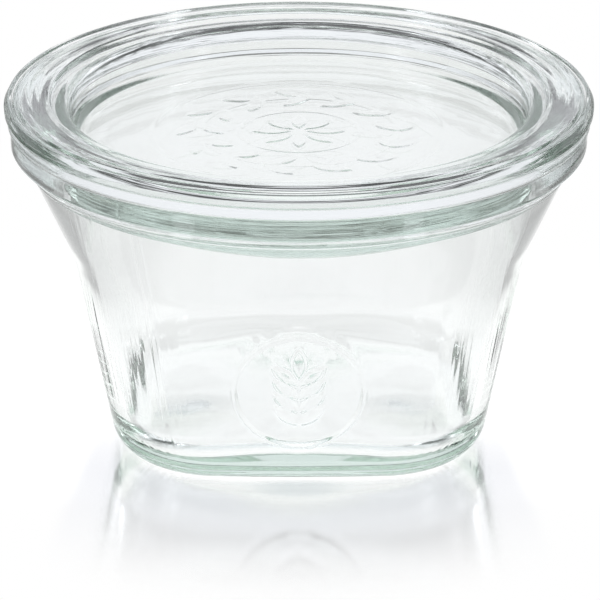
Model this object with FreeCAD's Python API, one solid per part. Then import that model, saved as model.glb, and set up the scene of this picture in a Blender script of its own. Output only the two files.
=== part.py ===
"""Glass preserving jar: a square body with a round rim, and a loose glass lid on the rim.

Two separate pieces, shown closed and standing upright. Lengths are in millimetres, +Z is up,
and the origin is the centre of the foot, on the surface that the jar stands on.
"""
import FreeCAD, Part
import math
import os

# Mouth and rim of the body
MOUTH_RADIUS = 46.3  # clear bore of the mouth
RIM_WIDTH = 7.15  # bore to the outside of the rim band
THROAT_WALL = 4.2  # bore to the crease where the rim meets the flare
JAR_HEIGHT = 59.7  # foot to the rim's top land, which the lid rests on
RIM_BAND_HEIGHT = 4.0  # upright outer band of the rim
RIM_SLOPE_HEIGHT = 2.9  # slope under the band, down to the crease
RIM_EDGE_RADIUS = 0.5  # rounding of the rim's two top edges
BAND_EDGE_RADIUS = 1.0  # rounding between the band and the slope

# Square body
BASE_HALF_WIDTH = 34.2  # faces at foot level, before the heel is rounded
SHOULDER_HALF_WIDTH = 41.85  # faces where the flare starts
BASE_CORNER_RADIUS = 18.8
SHOULDER_CORNER_RADIUS = 27.0
FACE_HALF_ARC = 3.5  # degrees that each face's shallow bow turns, each side of its middle
FLARE_HEIGHT = 13.5  # shoulder up to the round crease
SHOULDER_SOFTNESS = 1.0  # reach of the soft bend between faces and flare, each way
HEEL_RADIUS = 5.8
HEEL_ARC = 78.0  # degrees of the heel's rounding that are left above the foot

# Wall and base
WALL = 3.2
BASE_THICKNESS = 4.8
INNER_HEEL_RADIUS = 7.0
PUSH_UP_RADIUS = 22.0  # round hollow under the base
PUSH_UP_HEIGHT = 1.2
PUSH_UP_RUN = 5.0  # level run of its sloping side
PUSH_UP_EDGE_RADIUS = 8.0

# Lid
BOSS_CLEARANCE = 1.3  # lid's boss to the mouth's bore
BOSS_DEPTH = 10.5  # how far the boss hangs into the mouth
BOSS_DRAFT = 1.2  # the boss is this much slimmer at its foot
BOSS_EDGE_RADIUS = 3.0
BOSS_WALL = 3.0  # boss to the recess inside it
PANEL_THICKNESS = 7.6
PANEL_EDGE_RADIUS = 2.2
RECESS_DRAFT = 0.6  # the recess is this much wider at its top
RECESS_EDGE_RADIUS = 1.6
STEP_RING_WIDTH = 3.0  # low ring around the recess
STEP_RUN = 0.6  # slope of the step up to the flange
STEP_HEIGHT = 1.3
STEP_EDGE_RADIUS = 0.4
FLANGE_THICKNESS = 5.1  # rest plane to the top of the flange
LID_OVERHANG = 0.5  # lid's lower edge beyond the rim band
LEDGE_PROJECTION = 0.55  # parting ledge beyond the lid's lower edge
LEDGE_DROP = 1.6  # top of the flange down to the ledge
LEDGE_DEPTH = 0.9
LEDGE_EDGE_RADIUS = 0.3
TOP_EDGE_INSET = 0.75  # top edge inside the ledge
TOP_EDGE_RADIUS = 0.6
LOWER_EDGE_RADIUS = 0.5

# Sections that each curved stretch of the body is lofted through
HEEL_SECTIONS = 5
FLARE_SECTIONS = 8
BEND_REACH = 3.0  # shoulder softnesses below the shoulder, where the faces stop being straight
LAP = 1.0  # how far the rim's core and the cutting shapes run past what they join or cut

UP = FreeCAD.Vector(0, 0, 1)


def polar(radius, angle):
    """Point at a radius and an angle in radians, in a plane."""
    return radius * math.cos(angle), radius * math.sin(angle)


def profile_edges(corners):
    """Edges of a closed profile in the XZ plane.

    corners are (radius, height, rounding) in order; a rounding above zero puts a tangent arc there.
    """
    points = [FreeCAD.Vector(radius, 0, height) for radius, height, _ in corners]
    trims = []
    for index, (_, _, rounding) in enumerate(corners):
        here = points[index]
        back = (points[index - 1] - here).normalize()
        ahead = (points[(index + 1) % len(points)] - here).normalize()
        if rounding == 0:
            trims.append((here, None, here))
            continue
        half_angle = back.getAngle(ahead) / 2
        setback = rounding / math.tan(half_angle)
        bisector = (back + ahead).normalize()
        middle = here + bisector * (rounding / math.sin(half_angle) - rounding)
        trims.append((here + back * setback, middle, here + ahead * setback))
    edges = []
    for index, (start, middle, end) in enumerate(trims):
        if middle is not None:
            edges.append(Part.Arc(start, middle, end).toShape())
        next_start = trims[(index + 1) % len(trims)][0]
        if end.distanceToPoint(next_start) > 1e-6:
            edges.append(Part.LineSegment(end, next_start).toShape())
    return edges


def turned(corners):
    """Solid of revolution about the Z axis, from a closed profile with rounded corners."""
    face = Part.Face(Part.Wire(profile_edges(corners)))
    return face.revolve(FreeCAD.Vector(0, 0, 0), UP, 360)


def square_section(height, half_width, corner_radius):
    """Closed wire of eight tangent arcs: four bowed sides and four round corners.

    With a corner radius equal to the half width it is a circle, and the same amount taken off
    both sizes gives a parallel curve.
    """
    half_arc = math.radians(FACE_HALF_ARC)
    lean = math.cos(half_arc) - math.sin(half_arc)
    side_radius = (half_width - corner_radius * lean) / (1 - lean)
    corner_centre = (side_radius - corner_radius) * math.sin(half_arc)
    edges = []
    for quarter in range(4):
        turn = quarter * math.pi / 2
        side_centre = polar(half_width - side_radius, turn)
        diagonal = polar(corner_centre * math.sqrt(2), turn + math.pi / 4)
        arcs = (
            (side_centre, side_radius, turn - half_arc, turn + half_arc),
            (diagonal, corner_radius, turn + half_arc, turn + math.pi / 2 - half_arc),
        )
        for centre, radius, first, last in arcs:
            points = []
            for angle in (first, (first + last) / 2, last):
                across, along = polar(radius, angle)
                points.append(FreeCAD.Vector(centre[0] + across, centre[1] + along, height))
            edges.append(Part.Arc(*points).toShape())
    return Part.Wire(edges)


def body_size(height):
    """Half width and corner radius of the outer skin at a height, with the heel left square.

    Both run straight up the faces and straight up the flare, with a soft bend at the shoulder.
    At the crease the two are equal, which makes the skin round there.
    """
    shoulder = crease_height - FLARE_HEIGHT
    past = height - shoulder
    eased = (past + math.hypot(past, SHOULDER_SOFTNESS)) / 2
    eased_end = (FLARE_HEIGHT + math.hypot(FLARE_HEIGHT, SHOULDER_SOFTNESS)) / 2
    sizes = []
    for base, top in (
        (BASE_HALF_WIDTH, SHOULDER_HALF_WIDTH),
        (BASE_CORNER_RADIUS, SHOULDER_CORNER_RADIUS),
    ):
        rise = (top - base) / shoulder
        reached = base + rise * crease_height
        sizes.append(base + rise * height + (crease_radius - reached) * eased / eased_end)
    return sizes


def heel_levels(bottom, radius):
    """(height, inset) of each section round a heel whose lowest level is bottom."""
    levels = []
    for step in range(HEEL_SECTIONS + 1):
        angle = math.radians(HEEL_ARC) * (1 - step / HEEL_SECTIONS)
        height = bottom + radius * (math.sin(math.radians(HEEL_ARC)) - math.sin(angle))
        levels.append((height, radius * (1 - math.cos(angle))))
    return levels


def lofted(sections):
    """Smooth solid through closed wires."""
    return Part.makeLoft(sections, True, False)


def skin_pieces(bottom, heel_radius, wall):
    """Solids of one skin of the body, from its heel to the crease: heel, straight taper, flare.

    wall is how far the skin lies inside the outer one, where a wall of zero is the outer skin
    itself, and an inner skin meets the bore at the crease.
    """
    def section(height, inset, thickness):
        half_width, corner = body_size(height)
        taken_off = inset + thickness
        return square_section(height, half_width - taken_off, corner - taken_off)

    levels = heel_levels(bottom, heel_radius)
    heel_top = levels[-1][0]
    bend_start = crease_height - FLARE_HEIGHT - BEND_REACH * SHOULDER_SOFTNESS
    heel = [section(height, inset, wall) for height, inset in levels]
    taper = [section(heel_top, 0, wall), section(bend_start, 0, wall)]
    flare = []
    for step in range(FLARE_SECTIONS + 1):
        share = step / FLARE_SECTIONS
        height = bend_start + (crease_height - bend_start) * share
        thickness = wall + (THROAT_WALL - wall) * share if wall else 0
        flare.append(section(height, 0, thickness))
    return [lofted(heel), lofted(taper), lofted(flare)]


def jar_body():
    """Body: square skin and round rim, hollowed from the mouth down, with a push-up below."""
    rim_core = turned([
        (0, crease_height - LAP, 0),
        (crease_radius - LAP, crease_height - LAP, 0),
        (crease_radius, crease_height, 0),
        (rim_radius, band_bottom, BAND_EDGE_RADIUS),
        (rim_radius, JAR_HEIGHT, RIM_EDGE_RADIUS),
        (0, JAR_HEIGHT, 0),
    ])
    outer = skin_pieces(0, HEEL_RADIUS, 0)
    blank = outer[0].fuse(outer[1:] + [rim_core])
    bore = turned([
        (0, crease_height, 0),
        (MOUTH_RADIUS, crease_height, 0),
        (MOUTH_RADIUS, JAR_HEIGHT + LAP, 0),
        (0, JAR_HEIGHT + LAP, 0),
    ])
    inner = skin_pieces(BASE_THICKNESS, INNER_HEEL_RADIUS, WALL)
    hollow = inner[0].fuse(inner[1:] + [bore])
    push_up = turned([
        (0, -LAP, 0),
        (PUSH_UP_RADIUS + LAP * PUSH_UP_RUN / PUSH_UP_HEIGHT, -LAP, 0),
        (PUSH_UP_RADIUS - PUSH_UP_RUN, PUSH_UP_HEIGHT, PUSH_UP_EDGE_RADIUS),
        (0, PUSH_UP_HEIGHT, 0),
    ])
    return blank.cut([hollow, push_up]).removeSplitter()


def lid():
    """Lid: flange on the rim, a boss inside the mouth, and a recess above the panel."""
    flange_top = JAR_HEIGHT + FLANGE_THICKNESS
    boss_foot = JAR_HEIGHT - BOSS_DEPTH
    panel_top = boss_foot + PANEL_THICKNESS
    ring_top = flange_top - STEP_HEIGHT
    recess_radius = boss_radius - BOSS_WALL
    ring_inside = recess_radius + RECESS_DRAFT
    step_foot = ring_inside + STEP_RING_WIDTH
    ledge_radius = lid_edge_radius + LEDGE_PROJECTION
    ledge_top = flange_top - LEDGE_DROP
    ledge_bottom = ledge_top - LEDGE_DEPTH
    return turned([
        (0, boss_foot, 0),
        (boss_radius - BOSS_DRAFT, boss_foot, BOSS_EDGE_RADIUS),
        (boss_radius, JAR_HEIGHT, 0),
        (lid_edge_radius, JAR_HEIGHT, LOWER_EDGE_RADIUS),
        (lid_edge_radius, ledge_bottom - LEDGE_PROJECTION, 0),
        (ledge_radius, ledge_bottom, LEDGE_EDGE_RADIUS),
        (ledge_radius, ledge_top, LEDGE_EDGE_RADIUS),
        (ledge_radius - TOP_EDGE_INSET, flange_top, TOP_EDGE_RADIUS),
        (step_foot + STEP_RUN, flange_top, STEP_EDGE_RADIUS),
        (step_foot, ring_top, STEP_EDGE_RADIUS),
        (ring_inside, ring_top, RECESS_EDGE_RADIUS),
        (recess_radius, panel_top, PANEL_EDGE_RADIUS),
        (0, panel_top, 0),
    ])


rim_radius = MOUTH_RADIUS + RIM_WIDTH
crease_radius = MOUTH_RADIUS + THROAT_WALL
band_bottom = JAR_HEIGHT - RIM_BAND_HEIGHT
crease_height = band_bottom - RIM_SLOPE_HEIGHT
boss_radius = MOUTH_RADIUS - BOSS_CLEARANCE
lid_edge_radius = rim_radius + LID_OVERHANG

os.makedirs("parts", exist_ok=True)
for name, make in (("jar_body", jar_body), ("lid", lid)):
    solid = make().Solids[0]
    print(name, solid.ShapeType, "solids", len(solid.Solids), "faces", len(solid.Faces),
          "valid", solid.isValid(), "volume", round(solid.Volume / 1000, 2), "cm3")
    solid.exportStep("parts/" + name + ".step")
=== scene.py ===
"""Looks of a glass preserving jar: a square pressed-glass body, and the loose glass lid on its rim.

Outlines and relief are worked out in millimetres. Every finished piece is in metres, in the frame
of the part: +Z is up, the jar stands on Z = 0, and its front face looks along -Y.
"""
import logging
import math
from dataclasses import dataclass
from enum import Enum

import bmesh
import bpy
from mathutils import Matrix, Vector, noise


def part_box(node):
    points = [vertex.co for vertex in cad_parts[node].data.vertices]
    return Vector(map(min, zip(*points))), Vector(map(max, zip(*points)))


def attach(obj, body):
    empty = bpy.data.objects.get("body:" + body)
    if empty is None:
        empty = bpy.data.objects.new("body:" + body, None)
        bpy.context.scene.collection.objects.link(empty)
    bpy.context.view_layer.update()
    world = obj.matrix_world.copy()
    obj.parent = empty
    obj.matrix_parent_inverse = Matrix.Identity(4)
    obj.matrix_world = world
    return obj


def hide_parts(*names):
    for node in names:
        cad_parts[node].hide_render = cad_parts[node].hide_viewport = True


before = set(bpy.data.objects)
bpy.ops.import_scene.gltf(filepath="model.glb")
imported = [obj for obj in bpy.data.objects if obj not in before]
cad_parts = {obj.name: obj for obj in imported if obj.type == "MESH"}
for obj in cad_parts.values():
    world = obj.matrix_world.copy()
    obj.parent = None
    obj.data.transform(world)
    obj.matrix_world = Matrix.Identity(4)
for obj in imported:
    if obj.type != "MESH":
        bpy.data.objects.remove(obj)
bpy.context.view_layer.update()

Span = tuple[float, float]

MM = 0.001
log = logging.getLogger("glass_jar")


# ---------------- outlines and sections

ARC_STEP = math.radians(11)  # largest turn between two stations of a rounded corner
SECTORS = 8  # equal sectors in a full turn
WELD = 1e-3  # vertices closer than this are one
ON_PLANE = 1e-5  # vertices closer than this to a cut lie on it
FACE_HALF_ARC = math.radians(3.5)  # half the arc that crowns each side of a square section
LEAN = math.cos(FACE_HALF_ARC) - math.sin(FACE_HALF_ARC)  # puts a corner's centre on the diagonal


@dataclass(frozen=True)
class Station:
    """One point of a turned outline.

    width is the half width of the level section there, height is above the foot, and square is
    how far the section's four sides reach from their middles, which is 0 in a circle.
    """

    width: float
    height: float
    square: float = 0.0


@dataclass(frozen=True)
class Corner:
    """Corner of a turned outline: its place, its rounding, and the spacing of the run after it."""

    width: float
    height: float
    rounding: float = 0.0
    spacing: float = 50.0


def blend(low: float, high: float, share: float) -> float:
    """Value that lies a share of the way from low to high."""
    return low + (high - low) * share


def smooth_step(edge_low: float, edge_high: float, value: float) -> float:
    """0 up to edge_low, 1 from edge_high, and a smooth rise between them."""
    share = min(max((value - edge_low) / (edge_high - edge_low), 0.0), 1.0)
    return share * share * (3 - 2 * share)


def section_reach(width: float, square: float, angle: float) -> float:
    """Distance from the axis to a level section of the body, in one direction.

    Each side is a flat arc that runs without a break into the round corners beside it.

    Args:
        width: Half width of the section at the middle of a side.
        square: Reach of its sides, 0 for a circle.
        angle: Direction in radians, with a side's middle at each quarter turn.

    Returns:
        The distance along that direction.
    """
    if square <= 0:
        return width
    quarter = math.pi / 2
    turn = abs((angle + quarter / 2) % quarter - quarter / 2)
    side_centre = -square * LEAN / (1 - LEAN)
    side_radius = width - side_centre
    end_x = side_centre + side_radius * math.cos(FACE_HALF_ARC)
    end_y = side_radius * math.sin(FACE_HALF_ARC)
    if turn <= math.atan2(end_y, end_x):
        across = side_centre * math.sin(turn)
        return side_centre * math.cos(turn) + math.sqrt(side_radius ** 2 - across ** 2)
    diagonal = square / (1 - LEAN) * math.sin(FACE_HALF_ARC) * math.sqrt(2)
    off = quarter / 2 - turn
    corner = width - square
    return diagonal * math.cos(off) + math.sqrt(corner ** 2 - (diagonal * math.sin(off)) ** 2)


def tangent_arc(before: Vector, corner: Vector, after: Vector, radius: float) -> list[Vector]:
    """Rounds the corner between two straight runs.

    Args:
        before: A point on the run that arrives.
        corner: Where the two runs meet.
        after: A point on the run that leaves.
        radius: Radius of the rounding.

    Returns:
        Points of the arc, from the run that arrives to the run that leaves.
    """
    back = (before - corner).normalized()
    ahead = (after - corner).normalized()
    half = back.angle(ahead) / 2
    first = corner + back * (radius / math.tan(half))
    centre = corner + (back + ahead).normalized() * (radius / math.sin(half))
    sweep = math.pi - 2 * half
    steps = max(2, math.ceil(sweep / ARC_STEP))
    start = first - centre
    side = 1 if start.y * back.x - start.x * back.y > 0 else -1
    points = [first]
    for step in range(1, steps + 1):
        turn = Matrix.Rotation(side * sweep * step / steps, 2)
        points.append(centre + turn @ start)
    return points


def rounded_run(corners: list[Corner]) -> list[Station]:
    """Stations along straight runs that meet in tangent arcs.

    Args:
        corners: The run's corners in order; the first and the last stay sharp.

    Returns:
        Stations from the first corner to the last, round in section.
    """
    points = [Vector((corner.width, corner.height)) for corner in corners]
    run = [points[0]]
    for index in range(1, len(points)):
        bend = [points[index]]
        rounding = corners[index].rounding
        if rounding and index < len(points) - 1:
            bend = tangent_arc(points[index - 1], points[index], points[index + 1], rounding)
        last = run[-1]
        pieces = max(1, math.ceil((bend[0] - last).length / corners[index - 1].spacing))
        for step in range(1, pieces + 1):
            run.append(last.lerp(bend[0], step / pieces))
        run.extend(bend[1:])
    return [Station(point.x, point.y) for point in run]


# ---------------- relief

EDGE_SOFTNESS = 0.35  # run of a raised shape's sloping edge


def raised(depth: float) -> float:
    """Height share of a raised shape whose edge a point lies this deep inside of."""
    return smooth_step(-EDGE_SOFTNESS / 2, EDGE_SOFTNESS, depth)


def line_share(distance: float, half_width: float) -> float:
    """Height share of a raised line at a distance from its middle."""
    return 1 - smooth_step(0.0, half_width, abs(distance))


@dataclass(frozen=True)
class Leaf:
    """Raised leaf between two arcs, turned away from its stem by its splay."""

    length: float
    width: float
    splay: float = 0.0

    def height(self, out: float, along: float) -> float:
        """Height share of the leaf at a point.

        Args:
            out: Distance of the point from the stem, on the leaf's side.
            along: Distance of the point up the stem from the leaf's base.

        Returns:
            0 outside the leaf, up to 1 inside it.
        """
        tip = along * math.cos(self.splay) + out * math.sin(self.splay)
        off = out * math.cos(self.splay) - along * math.sin(self.splay)
        bow = (self.length ** 2 / 4 - self.width ** 2 / 4) / self.width
        radius = bow + self.width / 2
        return raised(radius - math.hypot(abs(off) + bow, tip - self.length / 2))


@dataclass(frozen=True)
class Wreath:
    """Plain leaf wreath with a rosette inside it, as relief on a level panel."""

    radius: float = 18.5
    pairs: int = 13
    leaf: Leaf = Leaf(7.6, 2.9, math.radians(34))
    stem_half_width: float = 0.4
    petals: int = 8
    petal: Leaf = Leaf(7.0, 2.7)
    petal_start: float = 1.6
    rings: tuple[float, ...] = (11.0, 27.0)
    ring_half_width: float = 0.45

    def height(self, x: float, y: float) -> float:
        """Height share of the relief.

        Args:
            x: Place across the panel, from its middle.
            y: Place along it.

        Returns:
            0 on the bare panel, up to 1 on the relief.
        """
        reach = math.hypot(x, y)
        angle = math.atan2(y, x)
        share = max(line_share(reach - ring, self.ring_half_width) for ring in self.rings)
        share = max(share, line_share(reach - self.radius, self.stem_half_width))
        pitch = 2 * math.pi / self.pairs
        for neighbour in (-1, 0):  # a leaf reaches into the next pair's share of the ring
            start = (math.floor(angle / pitch) + neighbour) * pitch
            along = self.radius * (angle - start)
            for side in (-1, 1):
                share = max(share, self.leaf.height(side * (reach - self.radius), along))
        sector = 2 * math.pi / self.petals
        turn = (angle + sector / 2) % sector - sector / 2
        petal_along = reach * math.cos(turn) - self.petal_start
        return max(share, self.petal.height(reach * math.sin(turn), petal_along))


@dataclass(frozen=True)
class Sprig:
    """Upright leafy sprig inside a round border, as relief on the front face."""

    half_size: float = 13.5
    border: float = 11.6
    border_half_width: float = 0.5
    stem: float = 16.0
    stem_half_width: float = 0.4
    stem_shares: Span = (-0.0125, 0.72)
    leaves: int = 4
    leaf: Leaf = Leaf(6.4, 2.5, math.radians(48))
    leafy_share: float = 0.68
    first_leaf: float = 0.35
    top_leaf: Leaf = Leaf(6.72, 2.875)
    top_share: float = 0.66

    def height(self, x: float, y: float) -> float:
        """Height share of the relief.

        Args:
            x: Place across the face, from the border's middle.
            y: Place up it.

        Returns:
            0 on the bare face, up to 1 on the relief.
        """
        if max(abs(x), abs(y)) >= self.half_size:
            return 0.0
        share = line_share(math.hypot(x, y) - self.border, self.border_half_width)
        foot = y + self.stem / 2
        if self.stem_shares[0] < foot / self.stem < self.stem_shares[1]:
            share = max(share, line_share(x, self.stem_half_width))
        gap = self.stem * self.leafy_share / self.leaves
        for row in range(self.leaves):
            share = max(share, self.leaf.height(abs(x), foot - gap * (row + self.first_leaf)))
        return max(share, self.top_leaf.height(x, foot - self.stem * self.top_share))


# ---------------- meshes

def spun_outline(stations: list[Station], steps: int) -> bmesh.types.BMesh:
    """Closed shell turned about the Z axis from an outline that starts and ends on it.

    One sector is spun, and its copies are turned into place and merged.

    Args:
        stations: The outline, from the axis under the piece round to the axis above.
        steps: Steps of the full turn.

    Returns:
        A bmesh whose vertices carry their station's width and square.
    """
    mesh = bmesh.new()
    width_layer = mesh.verts.layers.float.new("width")
    square_layer = mesh.verts.layers.float.new("square")
    previous = None
    for station in stations:
        vertex = mesh.verts.new((station.width, 0, station.height))
        vertex[width_layer] = station.width
        vertex[square_layer] = station.square
        if previous is not None:
            mesh.edges.new((previous, vertex))
        previous = vertex
    bmesh.ops.spin(
        mesh, geom=mesh.verts[:] + mesh.edges[:], cent=(0, 0, 0), axis=(0, 0, 1),
        angle=2 * math.pi / SECTORS, steps=steps // SECTORS,
    )
    sector = mesh.verts[:] + mesh.edges[:] + mesh.faces[:]
    for copy in range(1, SECTORS):
        copied = bmesh.ops.duplicate(mesh, geom=sector)["geom"]
        corners = [item for item in copied if isinstance(item, bmesh.types.BMVert)]
        turn = Matrix.Rotation(2 * math.pi * copy / SECTORS, 3, "Z")
        bmesh.ops.rotate(mesh, cent=(0, 0, 0), matrix=turn, verts=corners)
    bmesh.ops.remove_doubles(mesh, verts=mesh.verts, dist=WELD)
    return mesh


def finished_piece(
    name: str, mesh: bmesh.types.BMesh, material: bpy.types.Material
) -> bpy.types.Object:
    """Turns a bmesh in millimetres into a smooth object in metres.

    Args:
        name: Name of the piece.
        mesh: Its shape; it is freed here.
        material: The piece's finish.

    Returns:
        The new object, at the origin.
    """
    bmesh.ops.scale(mesh, vec=(MM, MM, MM), verts=mesh.verts)
    bmesh.ops.recalc_face_normals(mesh, faces=mesh.faces)
    for face in mesh.faces:
        face.smooth = True
    data = bpy.data.meshes.new(name)
    mesh.to_mesh(data)
    mesh.free()
    piece = bpy.data.objects.new(name, data)
    bpy.context.scene.collection.objects.link(piece)
    data.materials.append(material)
    return piece


# ---------------- shader building

MIX_COLOURS = (6, 7)  # colour inputs of a Mix node
MIX_RESULT = 2  # its colour output
DETAIL = 2.0  # octaves of a plain noise pattern


class Value:
    """A socket, with Python's operators adding Math nodes."""

    def __init__(self, graph: "Graph", socket: bpy.types.NodeSocket) -> None:
        """Keeps the socket and the graph that it belongs to."""
        self.graph = graph
        self.socket = socket

    def _math(self, operation: str, first: "Value | float", second: "Value | float") -> "Value":
        """Math node on two operands."""
        return self.graph.node("Math", {"operation": operation}, {0: first, 1: second})

    def __add__(self, other: "Value | float") -> "Value":
        """self + other."""
        return self._math("ADD", self, other)

    __radd__ = __add__

    def __sub__(self, other: "Value | float") -> "Value":
        """self - other."""
        return self._math("SUBTRACT", self, other)

    def __rsub__(self, other: "Value | float") -> "Value":
        """other - self."""
        return self._math("SUBTRACT", other, self)

    def __mul__(self, other: "Value | float") -> "Value":
        """self * other."""
        return self._math("MULTIPLY", self, other)

    __rmul__ = __mul__

    def __truediv__(self, other: "Value | float") -> "Value":
        """self / other."""
        return self._math("DIVIDE", self, other)

    def __pow__(self, other: "Value | float") -> "Value":
        """self ** other."""
        return self._math("POWER", self, other)

    def maximum(self, other: "Value | float") -> "Value":
        """The larger of self and other."""
        return self._math("MAXIMUM", self, other)

    def between(self, span: Span, low: float = 0.0, high: float = 1.0) -> "Value":
        """Smoothly maps a span of values to low..high, and holds the ends."""
        return self.graph.node(
            "MapRange", {"interpolation_type": "SMOOTHSTEP"},
            {0: self, 1: span[0], 2: span[1], 3: low, 4: high},
        )


class Graph:
    """Node tree of a material or a world."""

    def __init__(self, owner: bpy.types.Material | bpy.types.World) -> None:
        """Empties the owner's tree.

        Args:
            owner: The material or world.
        """
        owner.use_nodes = True
        self.tree = owner.node_tree
        self.tree.nodes.clear()

    def add(
        self, kind: str, settings: dict | None = None, sockets: dict | None = None
    ) -> bpy.types.Node:
        """Adds a node.

        Args:
            kind: Node type, without its ShaderNode prefix.
            settings: Properties, set first.
            sockets: Values or links, by socket name or number.

        Returns:
            The node.
        """
        node = self.tree.nodes.new("ShaderNode" + kind)
        for key, value in (settings or {}).items():
            setattr(node, key, value)
        for key, value in (sockets or {}).items():
            if isinstance(value, Value):
                self.tree.links.new(value.socket, node.inputs[key])
            else:
                node.inputs[key].default_value = value
        return node

    def node(
        self, kind: str, settings: dict | None = None, sockets: dict | None = None,
        output: int | str = 0,
    ) -> Value:
        """Adds a node as add() does, and returns one of its outputs, wrapped."""
        return Value(self, self.add(kind, settings, sockets).outputs[output])

    def speckle(self, place: Value, scale: float, detail: float = DETAIL) -> Value:
        """Noise pattern of a scale and a fineness, read at a place."""
        return self.node("TexNoise", sockets={"Vector": place, "Scale": scale, "Detail": detail})

    def parts(self, vector: Value) -> list[Value]:
        """Splits a vector into its three parts."""
        split = self.add("SeparateXYZ", sockets={0: vector})
        return [Value(self, output) for output in split.outputs]


# ---------------- glass

class StreakZone(Enum):
    """Where the surface of a piece is streaked."""

    CORNERS = "corners"
    FLANGE = "flange"


@dataclass(frozen=True)
class PressedGlass:
    """Clear soda-lime glass with a faint green cast in its thickness. Lengths in metres.

    clearness is what each surface lets through. A streak is a shallow furrow. Its pattern is
    stretched by streak_turn round the axis, streak_reach outwards and streak_rise upwards.
    """

    name: str
    ior: float = 1.52
    tint: tuple[float, float, float, float] = (0.12, 0.48, 0.23, 1.0)
    density: float = 5.0
    clearness: float = 0.979
    green_cast: float = 0.01
    blue_cast: float = 0.005
    roughness: float = 0.012
    polish: float = 0.0036
    haze_scale: float = 340.0
    haze_detail: float = 3.0
    haze_span: Span = (0.45, 0.8)
    ripple: float = 0.05
    ripple_depth: float = 0.0004
    ripple_scale: float = 90.0
    zone: StreakZone = StreakZone.CORNERS
    streak: float = 0.00007
    streak_turn: float = 20.0
    streak_reach: float = 0.0
    streak_rise: float = 30.0
    flange_span: Span = (0.041, 0.044)
    corner_span: Span = (0.4, 0.9)
    side_share: float = 0.25
    foot_span: Span = (0.008, 0.016)
    shoulder_span: Span = (0.03, 0.045)
    shoulder_share: float = 0.3

    def material(self) -> bpy.types.Material:
        """Builds the material.

        Returns:
            A transmitting surface with slight ripples and streaks, and an absorbing volume.
        """
        material = bpy.data.materials.new(self.name)
        graph = Graph(material)
        place = graph.node("TexCoord", output="Object")
        haze = graph.speckle(place, self.haze_scale, self.haze_detail)
        surface = graph.node("BsdfPrincipled", sockets={
            "Base Color": self.cast(graph, haze),
            "Roughness": haze.between(self.haze_span, self.polish, self.roughness),
            "IOR": self.ior,
            "Transmission Weight": 1.0,
            "Normal": self.streaked(graph, place, self.rippled(graph, place)),
        })
        colour = {"Color": self.tint, "Density": self.density}
        volume = graph.node("VolumeAbsorption", sockets=colour)
        graph.add("OutputMaterial", sockets={"Surface": surface, "Volume": volume})
        return material

    def cast(self, graph: Graph, haze: Value) -> Value:
        """Colour that a surface lets through.

        Args:
            graph: The material's nodes.
            haze: A noise pattern.

        Returns:
            A colour that drifts between greenish and bluish.
        """
        clear = self.clearness
        greenish = (clear - self.green_cast, clear, clear, 1.0)
        bluish = (clear, clear, clear + self.blue_cast, 1.0)
        return graph.node(
            "Mix", {"data_type": "RGBA"},
            {"Factor": haze, MIX_COLOURS[0]: greenish, MIX_COLOURS[1]: bluish}, MIX_RESULT,
        )

    def rippled(self, graph: Graph, place: Value) -> Value:
        """Normal of a surface with the slight ripples of pressed glass."""
        ripples = graph.speckle(place, self.ripple_scale)
        return graph.node("Bump", output="Normal", sockets={
            "Strength": self.ripple, "Distance": self.ripple_depth, "Height": ripples,
        })

    def streaked(self, graph: Graph, place: Value, normal: Value) -> Value:
        """Normal of a surface with streaks in this glass's zone.

        The streaks' noise is read in polar coordinates, so they follow the turned shape.

        Args:
            graph: The material's nodes.
            place: Object coordinates.
            normal: Normal of the surface without the streaks.

        Returns:
            The streaked normal.
        """
        x, y, z = graph.parts(place)
        reach = (x * x + y * y) ** 0.5
        flat = graph.node("CombineXYZ", sockets={0: x, 1: y})
        heading = graph.node("VectorMath", {"operation": "NORMALIZE"}, {0: flat})
        stretch = (self.streak_turn,) * 3
        turned = graph.node("VectorMath", {"operation": "MULTIPLY"}, {0: heading, 1: stretch})
        rise = reach * self.streak_reach + z * self.streak_rise
        climb = graph.node("CombineXYZ", sockets={2: rise})
        course = graph.node("VectorMath", {"operation": "ADD"}, {0: turned, 1: climb})
        streaks = graph.speckle(course, 1.0)
        if self.zone is StreakZone.FLANGE:
            share = reach.between(self.flange_span)
        else:
            heading_x, heading_y, _ = graph.parts(heading)
            diagonal = (heading_x * heading_y * 2) ** 2
            share = diagonal.between(self.corner_span, self.side_share, 1.0)
            share = share * z.between(self.foot_span)
            share = share * z.between(self.shoulder_span, 1.0, self.shoulder_share)
        return graph.node("Bump", output="Normal", sockets={
            "Strength": 1.0, "Distance": self.streak, "Height": streaks * share, "Normal": normal,
        })


# ---------------- the jar's body

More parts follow.
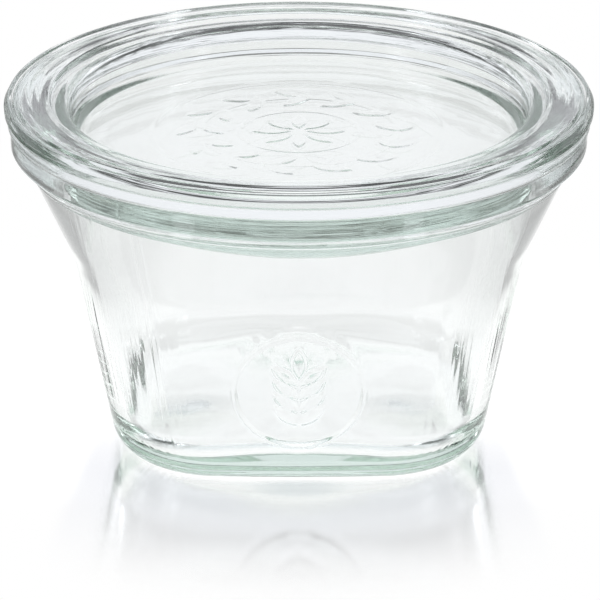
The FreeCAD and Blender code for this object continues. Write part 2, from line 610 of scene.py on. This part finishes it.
@dataclass
class JarBody:
    """Square body with large round corners, flaring to a round rim. Sizes in millimetres."""

    glass: PressedGlass = PressedGlass("body_glass")

    # Rim and mouth.
    mouth_radius: float = 46.3
    throat_wall: float = 4.2
    rim_band: float = 4.0
    rim_slope: float = 2.9
    rim_inner_edge: float = 0.9
    rim_outer_edge: float = 0.5
    band_edge: float = 1.0

    # Fine ridge round the crease, as distances out from the crease and up from it.
    ridge: float = 0.4
    ridge_lean: float = 0.1
    ridge_foot: float = 0.05
    ridge_top: float = 0.45
    ridge_end_out: float = 0.45
    ridge_end_up: float = 0.6
    ridge_edges: Span = (0.1, 0.2)

    # Sides and shoulder.
    base_half_width: float = 34.2
    shoulder_half_width: float = 41.85
    base_corner: float = 18.8
    shoulder_corner: float = 27.0
    flare_height: float = 13.5
    shoulder_softness: float = 1.0
    wall: float = 3.2
    throat_lead: float = 4.0  # how far under the shoulder the wall starts to thicken

    # Foot and floor.
    heel_radius: float = 5.8
    heel_arc: float = math.radians(78)
    base_thickness: float = 4.8
    inner_heel: float = 5.5
    push_up_radius: float = 22.0
    push_up_height: float = 0.45
    push_up_edge: float = 1.0

    # Spacing of the stations, and steps round the body.
    heel_steps: int = 9
    push_up_steps: int = 10
    foot_steps: int = 5
    floor_steps: int = 8
    side_spacing: float = 1.0
    flare_spacing: float = 0.8
    flare_lead: float = 3.0
    inner_spacing: float = 1.4
    rim_spacings: tuple[float, float, float] = (0.3, 0.8, 1.2)
    steps: int = 448

    # Mould seams, down two opposite corners.
    seam_angle: float = math.radians(-90 - 36.5)
    seam_height: float = 0.05
    seam_half_width: float = 0.2
    seam_cuts: tuple[float, ...] = (-0.4, -0.2, 0.0, 0.2, 0.4)
    seam_fade: Span = (1.0, 3.0)

    # What counts as the inner and the outer skin, by distance from the outer skin's own width.
    skin_margin: float = 1.5
    crease_margin: float = 0.2
    heel_margin: float = 5.22
    floor_margins: Span = (0.5, 1.0)

    # Sprig on the front face.
    emblem: Sprig = Sprig()
    emblem_height: float = 20.5
    emblem_relief: float = 0.3
    emblem_half_width: float = 13.2
    emblem_half_height: float = 12.6
    emblem_margin: float = 0.5
    emblem_cuts: int = 2

    # Fine ribs under the two front corners of the foot.
    ribs: int = 128
    rib_height: float = 0.08
    rib_band: Span = (27.0, 33.0)
    rib_fade: float = 1.5
    rib_corner: Span = (0.8, 0.98)
    rib_top: float = 1.0

    # Lobes of the inner floor, and waves of both skins.
    floor_lobe: float = 0.7
    lobe_band: Span = (8.0, 20.0)
    lobe_fade: Span = (5.0, 14.0)
    outer_wave: float = 0.05
    outer_bias: float = 0.5
    inner_wave: float = 0.12
    inner_shift: float = 40.0
    wave_length: float = 13.0
    wave_foot: Span = (1.0, 6.0)
    wave_top: float = 0.6

    def __post_init__(self) -> None:
        """Takes the overall sizes from the frame."""
        low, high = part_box("jar_body")
        self.height = high.z / MM
        self.rim_radius = high.x / MM
        self.crease_radius = self.mouth_radius + self.throat_wall
        self.crease_height = self.height - self.rim_band - self.rim_slope
        self.shoulder_height = self.crease_height - self.flare_height

    def size_at(self, height: float) -> tuple[float, float]:
        """Size of the outer skin's level section, with the heel left square.

        Args:
            height: Height of the section.

        Returns:
            Its half width, and the reach of its sides.
        """
        soft = self.shoulder_softness
        past = height - self.shoulder_height
        eased = (past + math.hypot(past, soft)) / 2
        eased_end = (self.flare_height + math.hypot(self.flare_height, soft)) / 2
        sizes = []
        for base, top in (
            (self.base_half_width, self.shoulder_half_width),
            (self.base_corner, self.shoulder_corner),
        ):
            rise = (top - base) / self.shoulder_height
            gain = self.crease_radius - (base + rise * self.crease_height)
            sizes.append(base + rise * height + gain * eased / eased_end)
        return sizes[0], max(sizes[0] - sizes[1], 0.0)

    def wall_at(self, height: float) -> float:
        """Thickness of the wall at a height, level across."""
        thicker = smooth_step(self.shoulder_height - self.throat_lead, self.crease_height, height)
        return blend(self.wall, self.throat_wall, thicker)

    def underside(self, heel: Station) -> list[Station]:
        """Outline of the underside.

        Args:
            heel: The heel's lowest station.

        Returns:
            Stations from the axis over the push-up to just short of the heel.
        """
        stations = []
        for step in range(self.push_up_steps + 1):
            share = step / self.push_up_steps
            height = self.push_up_height * (1 - share ** 2)
            stations.append(Station(self.push_up_radius * share, height))
        inner_edge = self.push_up_radius + self.push_up_edge
        stations.append(Station(inner_edge, 0.0))
        for step in range(1, self.foot_steps):
            share = step / self.foot_steps
            width = blend(inner_edge, heel.width, share)
            stations.append(Station(width, 0.0, heel.square * share))
        return stations

    def heel(self, bottom: float, radius: float, inset: float) -> list[Station]:
        """Stations round a heel, from its lowest level up.

        Args:
            bottom: Height of its lowest level.
            radius: Radius of its rounding.
            inset: How far its skin lies inside the outer skin.

        Returns:
            The stations.
        """
        stations = []
        for step in range(self.heel_steps + 1):
            angle = self.heel_arc * (1 - step / self.heel_steps)
            height = bottom + radius * (math.sin(self.heel_arc) - math.sin(angle))
            width, square = self.size_at(height)
            taken = radius * (1 - math.cos(angle)) + inset
            stations.append(Station(width - taken, height, square))
        return stations

    def sides(self, low: float, high: float, spacing: float, inner: bool = False) -> list[Station]:
        """Stations up a skin between two heights, without the first.

        Args:
            low: Height where they start.
            high: Height of the last one.
            spacing: Largest rise between two of them.
            inner: Whether they follow the inner skin.

        Returns:
            The stations.
        """
        count = math.ceil((high - low) / spacing)
        stations = []
        for step in range(1, count + 1):
            height = blend(low, high, step / count)
            width, square = self.size_at(height)
            taken = self.wall_at(height) if inner else 0.0
            stations.append(Station(width - taken, height, square))
        return stations

    def rim(self) -> list[Station]:
        """Outline of the rim.

        Returns:
            Stations from the crease over the ridge, the band and the rim, down into the mouth.
        """
        radius = self.crease_radius
        height = self.crease_height
        outermost = radius + self.ridge
        low_edge, top_edge = self.ridge_edges
        fine, middling, wide = self.rim_spacings
        return rounded_run([
            Corner(radius, height, spacing=fine),
            Corner(outermost, height + self.ridge_foot, low_edge, fine),
            Corner(outermost + self.ridge_lean, height + self.ridge_top, top_edge, fine),
            Corner(radius + self.ridge_end_out, height + self.ridge_end_up, top_edge, middling),
            Corner(self.rim_radius, self.height - self.rim_band, self.band_edge, middling),
            Corner(self.rim_radius, self.height, self.rim_outer_edge, wide),
            Corner(self.mouth_radius, self.height, self.rim_inner_edge, wide),
            Corner(self.mouth_radius, height),
        ])

    def outline(self) -> list[Station]:
        """Whole outline of the body.

        Returns:
            Stations from the axis under the base round to the axis on the floor inside.
        """
        outer_heel = self.heel(0.0, self.heel_radius, 0.0)
        inner_heel = self.heel(self.base_thickness, self.inner_heel, self.wall)
        flare = self.shoulder_height - self.flare_lead
        inner_low = inner_heel[-1].height
        inner_sides = self.sides(inner_low, self.crease_height, self.inner_spacing, inner=True)
        stations = self.underside(outer_heel[0]) + outer_heel
        stations += self.sides(outer_heel[-1].height, flare, self.side_spacing)
        stations += self.sides(flare, self.crease_height, self.flare_spacing)
        stations += self.rim()[1:]
        stations += inner_sides[-2::-1]
        stations += inner_heel[::-1]
        floor = inner_heel[0]
        for step in range(1, self.floor_steps + 1):
            share = 1 - step / self.floor_steps
            stations.append(Station(floor.width * share, floor.height, floor.square * share))
        return stations

    def shape(self) -> bmesh.types.BMesh:
        """Makes the body's solid glass.

        Returns:
            Its shape, with seams, sprig, ribs, floor lobes and waves, in millimetres.
        """
        mesh = spun_outline(self.outline(), self.steps)
        across = Vector((-math.sin(self.seam_angle), math.cos(self.seam_angle), 0))
        for offset in self.seam_cuts:
            bmesh.ops.bisect_plane(
                mesh, geom=mesh.verts[:] + mesh.edges[:] + mesh.faces[:],
                plane_co=across * offset, plane_no=across, dist=ON_PLANE,
            )
        width_layer = mesh.verts.layers.float["width"]
        square_layer = mesh.verts.layers.float["square"]
        emblem_edges = [
            edge for edge in mesh.edges
            if all(self.on_emblem(vertex.co, vertex[width_layer]) for vertex in edge.verts)
        ]
        bmesh.ops.subdivide_edges(
            mesh, edges=emblem_edges, cuts=self.emblem_cuts, use_grid_fill=True
        )
        for vertex in mesh.verts:
            angle = math.atan2(vertex.co.y, vertex.co.x)
            height = vertex.co.z
            width = vertex[width_layer]
            reach = section_reach(width, vertex[square_layer], angle)
            reach += self.relief(angle, height, reach, width)
            vertex.co.x = reach * math.cos(angle)
            vertex.co.y = reach * math.sin(angle)
            vertex.co.z += self.rib_rise(angle, height, width) + self.lobe(angle, height, width)
        self.add_waves(mesh)
        return mesh

    def is_inner(self, height: float, width: float) -> bool:
        """True on the inner skin and the floor."""
        skin = self.size_at(min(height, self.crease_height))[0]
        return width < skin - self.skin_margin

    def is_outer(self, height: float, width: float, reach: float) -> bool:
        """True on the outer skin, which is the rim and the sides down to the heel."""
        if height > self.crease_height:
            return reach > self.crease_radius - self.crease_margin
        return width > self.size_at(max(height, 0.0))[0] - self.heel_margin

    def on_emblem(self, place: Vector, width: float) -> bool:
        """Tells the part of the front face that carries the sprig.

        Args:
            place: A place on the body.
            width: Half width of the level section it lies on.

        Returns:
            True on that part.
        """
        level = abs(place.z - self.emblem_height) <= self.emblem_half_height
        front = place.y <= 0 and abs(place.x) <= self.emblem_half_width
        return front and level and width > self.size_at(place.z)[0] - self.emblem_margin

    def relief(self, angle: float, height: float, reach: float, width: float) -> float:
        """How far the outer skin stands proud at a place, for its seams and its sprig.

        Args:
            angle: Direction of the place from the axis.
            height: Its height.
            reach: Its distance from the axis.
            width: Half width of the level section it lies on.

        Returns:
            The rise of the skin, 0 off the outer skin.
        """
        if not self.is_outer(height, width, reach):
            return 0.0
        off = reach * math.sin(angle - self.seam_angle)
        bell = math.exp(-(off / self.seam_half_width) ** 2)
        proud = self.seam_height * bell * smooth_step(*self.seam_fade, height)
        if angle < 0:
            x = reach * math.cos(angle)
            proud += self.emblem_relief * self.emblem.height(x, height - self.emblem_height)
        return proud

    def rib_rise(self, angle: float, height: float, width: float) -> float:
        """How far the radial ribs under the front corners rise into the glass.

        Args:
            angle: Direction of the place from the axis.
            height: Its height.
            width: Half width of the level section it lies on.

        Returns:
            The rise, 0 away from those corners.
        """
        inside, outside = self.rib_band
        if height > self.rib_top or not inside < width < outside or math.sin(angle) >= 0:
            return 0.0
        band = smooth_step(inside, inside + self.rib_fade, width)
        band *= 1 - smooth_step(outside - self.rib_fade, outside, width)
        band *= smooth_step(*self.rib_corner, abs(math.sin(2 * angle)))
        return self.rib_height * band * (0.5 + 0.5 * math.cos(angle * self.ribs))

    def lobe(self, angle: float, height: float, width: float) -> float:
        """How far the inner floor stands up at the sides' middles, and dips at the corners.

        Args:
            angle: Direction of the place from the axis.
            height: Its height.
            width: Half width of the level section it lies on.

        Returns:
            The rise, 0 off the inner skin.
        """
        floor = self.base_thickness - self.floor_margins[0]
        if height < floor or not self.is_inner(height, width):
            return 0.0
        band = smooth_step(*self.lobe_band, width) * (1 - smooth_step(*self.lobe_fade, height))
        return self.floor_lobe * band * math.cos(4 * angle)

    def add_waves(self, mesh: bmesh.types.BMesh) -> None:
        """Gives both skins the slight unevenness of pressed glass, and leaves foot and rim level.

        Args:
            mesh: The body's shape, in millimetres; it is changed here.
        """
        width_layer = mesh.verts.layers.float["width"]
        level = self.height - self.wave_top
        for vertex in mesh.verts:
            height = vertex.co.z
            if height < self.wave_foot[0] or height > level:
                continue
            inner = self.is_inner(height, vertex[width_layer])
            fade = smooth_step(*self.wave_foot, height)
            fade *= 1 - smooth_step(self.crease_height, level, height)
            shift = Vector((0, 0, self.inner_shift if inner else 0.0))
            uneven = noise.noise(vertex.co / self.wave_length + shift)
            if inner:
                swell = self.inner_wave * fade * uneven
            else:
                swell = self.outer_wave * fade * (uneven - self.outer_bias)
            outward = Vector((vertex.co.x, vertex.co.y, 0)).normalized()
            if inner and height < self.base_thickness + self.floor_margins[1]:
                outward = Vector((0, 0, 1))
            vertex.co += outward * swell

    def build(self) -> bpy.types.Object:
        """Makes the piece, and lets it stand for the node of the same solid.

        Returns:
            The piece.
        """
        piece = finished_piece("pressed_body", self.shape(), self.glass.material())
        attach(piece, "root")
        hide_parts("jar_body")
        return piece


# ---------------- the lid

@dataclass
class Lid:
    """Loose glass lid: flange, boss in the mouth, and recessed panel. Sizes in millimetres."""

    glass: PressedGlass = PressedGlass(
        "lid_glass", density=4.0, zone=StreakZone.FLANGE, streak=0.00003,
        streak_turn=1.2, streak_reach=1900.0, streak_rise=1900.0,
    )

    # Boss, recess and the step ring round it.
    boss_radius: float = 45.0
    boss_draft: float = 1.2
    boss_edge: float = 4.5
    boss_wall: float = 3.0
    boss_corner: float = 0.3
    panel_thickness: float = 7.6
    panel_edge: float = 2.2
    recess_draft: float = 0.6
    step_ring: float = 3.0
    step_run: float = 0.6
    step_height: float = 1.3
    step_edge: float = 0.4
    ring_edge: float = 1.6

    # Flange, with a thin ledge round its outer edge.
    seat_gap: float = 0.04
    seat_edge: float = 0.5
    ledge_projection: float = 0.55
    ledge_drop: float = 1.6
    ledge_depth: float = 0.9
    ledge_edge: float = 0.3
    top_edge_inset: float = 0.75
    top_edge: float = 0.5

    # Crown, groove and ripples on top of the flange.
    crown: float = 0.3
    crown_place: float = 0.48
    crown_over: float = 0.03
    crown_rounding: float = 4.0
    groove_inset: float = 1.9
    groove_depth: float = 0.4
    groove_runs: Span = (0.5, 0.6)
    groove_lip: float = 0.05
    groove_edges: tuple[float, float, float] = (0.15, 0.2, 0.3)
    ripple_pitch: float = 1.9
    ripple_depth: float = 0.11
    ripple_margins: Span = (1.6, 1.0)
    ripple_fade: float = 0.8
    ripple_floor: float = 0.5
    ripple_swell: float = 0.7
    swell_length: float = 30.0

    # Relief and waves.
    wreath: Wreath = Wreath()
    relief_radius: float = 28.5
    relief_height: float = 0.08
    relief_spacing: float = 0.46
    wave: float = 0.03
    wave_length: float = 8.0
    wave_top: Span = (0.1, 1.5)
    wave_edge: Span = (0.2, 2.0)
    boss_margin: float = 0.5
    seat_margin: float = 2.5
    panel_margins: Span = (0.01, 0.1)
    steps: int = 432

    def __post_init__(self) -> None:
        """Takes the overall sizes from the frame."""
        low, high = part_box("lid")
        self.foot = low.z / MM
        self.top = high.z / MM
        self.radius = high.x / MM
        self.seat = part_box("jar_body")[1].z / MM + self.seat_gap
        self.panel_top = self.foot + self.panel_thickness

    def outline(self) -> list[Station]:
        """Whole outline of the lid.

        Returns:
            Stations from the axis under the boss round to the axis on the panel.
        """
        ring_top = self.top - self.step_height
        recess = self.boss_radius - self.boss_wall
        ring_inside = recess + self.recess_draft
        step_foot = ring_inside + self.step_ring
        edge = self.radius - self.ledge_projection
        ledge_top = self.top - self.ledge_drop
        ledge_bottom = ledge_top - self.ledge_depth
        groove = self.radius - self.groove_inset
        outer_run, inner_run = self.groove_runs
        outer_lip, groove_edge, inner_lip = self.groove_edges
        land = self.top - self.crown
        middle = blend(step_foot, self.radius, self.crown_place)
        return rounded_run([
            Corner(0, self.foot, spacing=3.0),
            Corner(self.boss_radius - self.boss_draft, self.foot, self.boss_edge, spacing=1.2),
            Corner(self.boss_radius, self.seat, self.boss_corner, spacing=1.2),
            Corner(edge, self.seat, self.seat_edge, spacing=0.8),
            Corner(edge, ledge_bottom - self.ledge_projection, self.seat_edge),
            Corner(self.radius, ledge_bottom, self.ledge_edge, spacing=0.5),
            Corner(self.radius, ledge_top, self.ledge_edge, spacing=0.5),
            Corner(self.radius - self.top_edge_inset, land, self.top_edge, spacing=0.8),
            Corner(groove + outer_run, land, outer_lip, spacing=0.4),
            Corner(groove, land - self.groove_depth, groove_edge, spacing=0.4),
            Corner(groove - inner_run, land + self.groove_lip, inner_lip, spacing=0.45),
            Corner(middle, self.top + self.crown_over, self.crown_rounding, spacing=0.45),
            Corner(step_foot + self.step_run, land, self.step_edge, spacing=0.5),
            Corner(step_foot, ring_top, self.step_edge, spacing=0.6),
            Corner(ring_inside, ring_top, self.ring_edge, spacing=0.8),
            Corner(recess, self.panel_top, self.panel_edge, spacing=1.6),
            Corner(self.relief_radius, self.panel_top, spacing=self.relief_spacing),
            Corner(0, self.panel_top),
        ])

    def shape(self) -> bmesh.types.BMesh:
        """Makes the lid's solid glass.

        Returns:
            Its shape, with ripples on the flange and a wreath on the panel, in millimetres.
        """
        mesh = spun_outline(self.outline(), self.steps)
        level, inside = self.panel_margins
        boss = self.boss_radius - self.boss_margin
        above = self.seat + self.seat_margin
        for vertex in mesh.verts:
            reach = math.hypot(vertex.co.x, vertex.co.y)
            vertex.co.z -= self.ripple(vertex.co, reach)
            on_panel = abs(vertex.co.z - self.panel_top) < level
            if on_panel and reach < self.relief_radius - inside:
                vertex.co.z += self.relief_height * self.wreath.height(vertex.co.x, vertex.co.y)
            elif reach < boss or vertex.co.z > above:
                inset = smooth_step(*self.wave_top, self.top - vertex.co.z)
                inset *= smooth_step(*self.wave_edge, self.radius - reach)
                vertex.co.z += self.wave * inset * noise.noise(vertex.co / self.wave_length)
        return mesh

    def ripple(self, place: Vector, reach: float) -> float:
        """How far the top of the flange dips at a place, in rings of uneven depth.

        Args:
            place: The place on the lid.
            reach: Its distance from the axis.

        Returns:
            The dip, 0 off the flange's top.
        """
        inside = self.boss_radius + self.ripple_margins[0]
        outside = self.radius - self.groove_inset - self.ripple_margins[1]
        if not inside < reach < outside or place.z <= self.top - self.ripple_floor:
            return 0.0
        band = smooth_step(inside, inside + self.ripple_fade, reach)
        band *= 1 - smooth_step(outside - self.ripple_fade, outside, reach)
        swell = self.ripple_swell + noise.noise(place / self.swell_length)
        ring = 0.5 - 0.5 * math.cos(2 * math.pi * (reach - inside) / self.ripple_pitch)
        return self.ripple_depth * band * swell * ring

    def build(self) -> bpy.types.Object:
        """Makes the piece, and lets it stand for the node of the same solid.

        Returns:
            The piece.
        """
        piece = finished_piece("pressed_lid", self.shape(), self.glass.material())
        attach(piece, "root")
        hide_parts("lid")
        return piece


# ---------------- studio

SQUARENESS = 4  # power that makes rings nearly square


def square_distance(across: Value, along: Value) -> Value:
    """Distance from the middle in rings that are squares with soft corners."""
    return (across ** SQUARENESS + along ** SQUARENESS) ** (1 / SQUARENESS)


@dataclass(frozen=True)
class Studio:
    """Pale glossy floor, white surroundings and the camera.

    Lengths are in metres. Directions of the surroundings are given by the parts of a unit
    vector, such as the sine of the height above the horizon.
    """

    camera_distance: float = 0.8
    camera_tilt: float = 0.387
    aim_height: float = 0.023
    lens: float = 254.6
    shift: float = 0.0018
    bounces: int = 24

    # Floor: a bright table that widens away from the camera, with a dimmer floor beyond it, and
    # painted light: a pool of brighter glow under the foot.
    floor_size: float = 3.0
    floor_gap: float = 0.0001
    table_centre: float = 0.09
    table_half: float = 0.066
    table_spread: float = 0.072
    table_length: float = 0.22
    table_edge: Span = (1.0, 1.36)
    far_floor: float = 0.5
    dusk_edge: Span = (1.6, 2.3)
    dusk: float = 0.5
    # painted light: the floor under the foot glows this share brighter
    foot_glow: float = 0.1
    glow_front: Span = (-0.045, -0.03)
    glow_back: Span = (0.035, 0.09)

    # Mirror in the floor, in front of the foot and a little to its sides.
    foot_half: float = JarBody.base_half_width * MM
    foot_edge: Span = (0.86, 0.97)
    mirror_colour: tuple[float, float, float, float] = (0.93, 0.93, 0.93, 1.0)
    mirror_roughness: Span = (0.1, 0.12)
    mottle_scale: float = 6.0
    mottle_span: Span = (0.3, 0.7)
    mirror_fade: Span = (0.034, 0.085)
    mirror_margins: Span = (0.001, 0.005)
    mirror_spread: float = 0.12
    mirror_back: Span = (-0.03, 0.0)
    back_share: float = 0.2

    # Surroundings: brightness and edges of each lit part.
    light_colour: tuple[float, float, float, float] = (0.95, 0.96, 1.0, 1.0)
    ambient: float = 0.1
    horizon: float = 0.65
    horizon_edge: Span = (0.05, 0.25)
    backdrop: float = 1.03
    backdrop_front: Span = (0.2, 0.6)
    backdrop_top: Span = (0.46, 0.55)
    overhead: float = 1.3
    overhead_edge: Span = (0.74, 0.82)
    flank: float = 2.8
    flank_front: Span = (0.46, 0.5)
    flank_back: Span = (0.6, 0.66)
    flank_foot: Span = (0.12, 0.2)
    flank_top: Span = (0.55, 0.62)

    def camera(self) -> None:
        """Adds the camera, looking a little down on the front face."""
        data = bpy.data.cameras.new("camera")
        data.lens = self.lens
        data.shift_x = self.shift
        camera = bpy.data.objects.new("camera", data)
        back = self.camera_distance * math.cos(self.camera_tilt)
        rise = self.camera_distance * math.sin(self.camera_tilt)
        camera.location = (0, -back, self.aim_height + rise)
        camera.rotation_euler = (math.pi / 2 - self.camera_tilt, 0, 0)
        bpy.context.scene.collection.objects.link(camera)
        bpy.context.scene.camera = camera

    def lit(self, graph: Graph, place: Value) -> Value:
        """Shader of the floor's own light.

        Args:
            graph: The floor's nodes.
            place: Object coordinates.

        Returns:
            Light that is white on the table and dimmer beyond it, with painted light a tenth
            brighter under the foot, fading out behind it.
        """
        x, y, _ = graph.parts(place)
        across = x / (self.table_half + y * self.table_spread)
        along = (y - self.table_centre) / self.table_length
        spread = square_distance(across, along)
        # painted pool of light: a band of floor under the foot glows brighter, fading out behind it
        below = y.between(self.glow_front) * y.between(self.glow_back, 1.0, 0.0)
        glow = spread.between(self.table_edge, 1.0, self.far_floor) * (1 + below * self.foot_glow)
        glow = glow * spread.between(self.dusk_edge, 1.0, self.dusk)
        return graph.node("Emission", sockets={"Color": glow, "Strength": 1.0})

    def polished(self, graph: Graph, place: Value) -> Value:
        """Shader of the floor's mirror."""
        mottle = graph.speckle(place, self.mottle_scale)
        return graph.node("BsdfPrincipled", sockets={
            "Base Color": self.mirror_colour,
            "Metallic": 1.0,
            "Roughness": mottle.between(self.mottle_span, *self.mirror_roughness),
        })

    def mirror_share(self, graph: Graph, place: Value) -> Value:
        """How much of the floor is mirror at a place.

        Args:
            graph: The floor's nodes.
            place: Object coordinates.

        Returns:
            1 in front of the foot, fading away from it, and 0 under it and far from it.
        """
        x, y, _ = graph.parts(place)
        reach = graph.node("VectorMath", {"operation": "LENGTH"}, {0: place}, "Value")
        beside = square_distance(x / self.foot_half, y / self.foot_half)
        outward = x.maximum(x * -1) + y * self.mirror_spread
        share = reach.between(self.mirror_fade, 1.0, 0.0) * beside.between(self.foot_edge)
        share = share * y.between(self.mirror_back, 1.0, self.back_share)
        inside, outside = self.mirror_margins
        edge = (self.foot_half + inside, self.foot_half + outside)
        return share * outward.between(edge, 1.0, 0.0)

    def floor(self) -> None:
        """Adds the floor."""
        material = bpy.data.materials.new("pale_floor")
        graph = Graph(material)
        place = graph.node("TexCoord", output="Object")
        surface = graph.node("MixShader", sockets={
            0: self.mirror_share(graph, place),
            1: self.lit(graph, place),
            2: self.polished(graph, place),
        })
        graph.add("OutputMaterial", sockets={"Surface": surface})
        mesh = bmesh.new()
        bmesh.ops.create_grid(mesh, x_segments=2, y_segments=2, size=self.floor_size)
        bmesh.ops.translate(mesh, vec=(0, 0, -self.floor_gap), verts=mesh.verts)
        data = bpy.data.meshes.new("floor")
        mesh.to_mesh(data)
        mesh.free()
        data.materials.append(material)
        floor = bpy.data.objects.new("floor", data)
        bpy.context.scene.collection.objects.link(floor)

    def surroundings(self) -> None:
        """Lights the scene: a white backdrop, bright flanks and ceiling, and grey between them."""
        world = bpy.data.worlds.new("surroundings")
        bpy.context.scene.world = world
        graph = Graph(world)
        direction = graph.node("TexCoord", output="Generated")
        side, depth, rise = graph.parts(direction)
        low = rise.between(self.horizon_edge, self.horizon, self.ambient)
        behind = depth.between(self.backdrop_front)
        behind = behind * rise.between(self.backdrop_top, self.backdrop, 0.0)
        above = rise.between(self.overhead_edge, 0.0, self.overhead)
        turn = side * side
        slant = turn.between(self.flank_front) * (1 - turn.between(self.flank_back))
        flanks = slant * rise.between(self.flank_foot)
        flanks = flanks * rise.between(self.flank_top, self.flank, 0.0)
        strength = low.maximum(behind).maximum(above).maximum(flanks)
        glow = {"Color": self.light_colour, "Strength": strength}
        light = graph.node("Background", sockets=glow)
        graph.add("OutputWorld", sockets={"Surface": light})

    def view(self) -> None:
        """Sets how the scene is seen, with enough bounces for light to cross every wall."""
        scene = bpy.context.scene
        scene.view_settings.view_transform = "Standard"
        scene.cycles.max_bounces = self.bounces
        scene.cycles.transmission_bounces = self.bounces
        scene.cycles.glossy_bounces = self.bounces


def main() -> None:
    """Builds the studio, the jar and its lid."""
    logging.basicConfig(level=logging.INFO, format="%(message)s")
    studio = Studio()
    studio.camera()
    studio.floor()
    studio.surroundings()
    studio.view()
    for part in (JarBody(), Lid()):
        piece = part.build()
        log.info("%s: %d faces", piece.name, len(piece.data.polygons))


if __name__ == "__main__":
    main()
